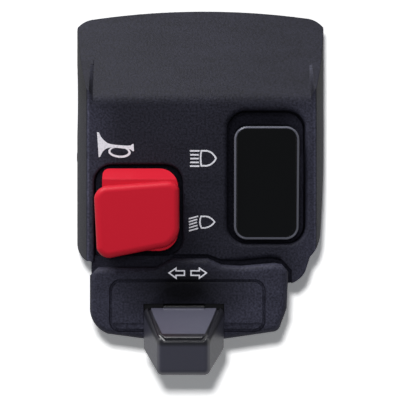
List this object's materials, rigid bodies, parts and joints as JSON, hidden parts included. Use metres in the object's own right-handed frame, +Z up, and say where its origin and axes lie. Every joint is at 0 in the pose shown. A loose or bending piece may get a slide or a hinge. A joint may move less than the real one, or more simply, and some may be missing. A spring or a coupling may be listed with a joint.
{
  "type": "handlebar switch cluster",
  "caption": "Left handlebar switch cluster for a motorcycle: two-half clamp housing with dimmer rocker, horn button, sliding turn-signal knob and passing-light trigger.",
  "frame": {"origin": "on the handlebar's axis, midway along the clamp's bore", "axes": "+X along the bar towards the rider's right, +Z up, the switch face looks towards -Y, where the rider is"},
  "size_m": [0.0627, 0.0607, 0.0876],
  "materials": {
    "housing_plastic": "fine moulded texture, black",
    "button_red": "satin red",
    "gloss_black": "gloss black",
    "knob_plastic": "satin, black",
    "inner_plastic": "satin, black",
    "board_laminate": "brown laminate",
    "steel": "zinc plated",
    "brass": "bright brass",
    "rubber": "matt black"
  },
  "bodies": {
    "housing": {"front_housing": "housing_plastic", "rear_housing": "housing_plastic", "turn_bezel": "housing_plastic", "dimmer_cradle": "inner_plastic", "nose_cover": "inner_plastic", "contact_plate": "board_laminate", "turn_board": "board_laminate", "clamp_screws": "steel", "plate_screws": "steel", "dimmer_pin": "steel", "flash_pin": "steel", "screw_inserts": "brass", "dimmer_terminals": "brass", "horn_terminals": "brass", "turn_studs": "brass", "flash_leaf": "brass", "cable_grommet": "rubber"},
    "horn": {"horn_button": "button_red", "horn_contact": "brass", "horn_spring": "steel"},
    "dimmer": {"dimmer_rocker": "gloss_black", "dimmer_plunger": "inner_plastic", "dimmer_spring": "steel"},
    "seesaw": {"dimmer_seesaw": "brass"},
    "carriage": {"turn_carriage": "inner_plastic", "turn_shutter": "inner_plastic", "turn_wiper": "brass", "detent_ball": "steel", "detent_spring": "steel"},
    "knob": {"turn_knob": "knob_plastic", "cancel_spring": "steel"},
    "trigger": {"flash_trigger": "knob_plastic", "flash_spring": "steel"}
  },
  "joints": [
    {"name": "horn_press", "type": "slide", "parent": "housing", "child": "horn", "axis": [0, 1, 0], "range_m": [0, 0.002], "stiffness_N_per_m": 900, "springref_m": -0.002, "deforming": ["horn_spring"]},
    {"name": "dimmer_pivot", "type": "hinge", "parent": "housing", "child": "dimmer", "pos_m": [0.0159, -0.018, -0.0196], "axis": [1, 0, 0], "range_deg": [-16, 0]},
    {"name": "seesaw_pivot", "type": "hinge", "parent": "housing", "child": "seesaw", "pos_m": [0.0159, -0.0099, -0.0196], "axis": [1, 0, 0], "range_deg": [-1, 13]},
    {"name": "turn_slide", "type": "slide", "parent": "housing", "child": "carriage", "axis": [1, 0, 0], "range_m": [-0.0045, 0.0045]},
    {"name": "cancel_press", "type": "slide", "parent": "carriage", "child": "knob", "axis": [0, 1, 0], "range_m": [0, 0.0014], "stiffness_N_per_m": 800, "springref_m": -0.002, "deforming": ["cancel_spring"]},
    {"name": "flash_pull", "type": "hinge", "parent": "housing", "child": "trigger", "pos_m": [-0.009, 0.0132, -0.0139], "axis": [0, 0, 1], "range_deg": [0, 5], "stiffness_Nm_per_rad": 0.15, "springref_deg": -11.46, "deforming": ["flash_spring"]}
  ],
  "couplings": [
    {"joint": "seesaw_pivot", "follows": "dimmer_pivot", "ratio": -0.75}
  ]
}
